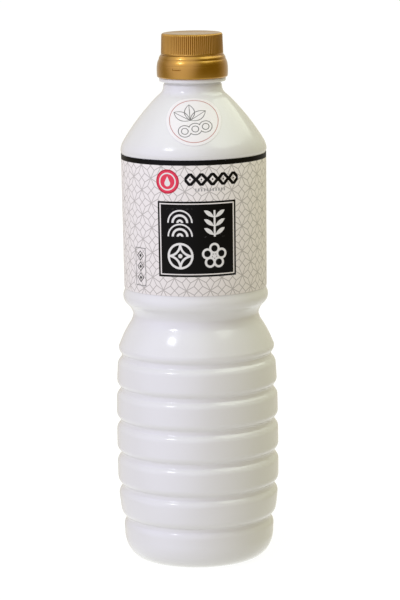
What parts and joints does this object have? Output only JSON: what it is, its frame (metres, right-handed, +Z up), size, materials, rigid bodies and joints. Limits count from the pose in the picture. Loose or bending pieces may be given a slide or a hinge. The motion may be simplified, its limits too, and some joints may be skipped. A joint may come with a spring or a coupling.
{
  "type": "soy sauce bottle",
  "caption": "Full, shut soy sauce bottle of opaque white ribbed plastic with a waist, a sleeve label, a round shoulder sticker and a gold screw cap on a flared base ring.",
  "frame": {"origin": "centre of the ring the bottle stands on, at the height of the surface under it", "axes": "+Z up along the bottle's axis, -Y out of the front of the label, +X to the right of someone who faces the label"},
  "size_m": [0.0842, 0.0842, 0.2743],
  "materials": {
    "bottle_plastic": "opaque white blown plastic, glossy",
    "label_film": "printed film, satin",
    "sticker_film": "printed film, satin",
    "gold_plastic": "moulded plastic with a gold metallic lacquer, glossy"
  },
  "bodies": {
    "root": {"bottle": "bottle_plastic", "label": "label_film", "shoulder_sticker": "sticker_film", "cap_base_ring": "gold_plastic", "screw_cap": "gold_plastic"}
  },
  "joints": []
}
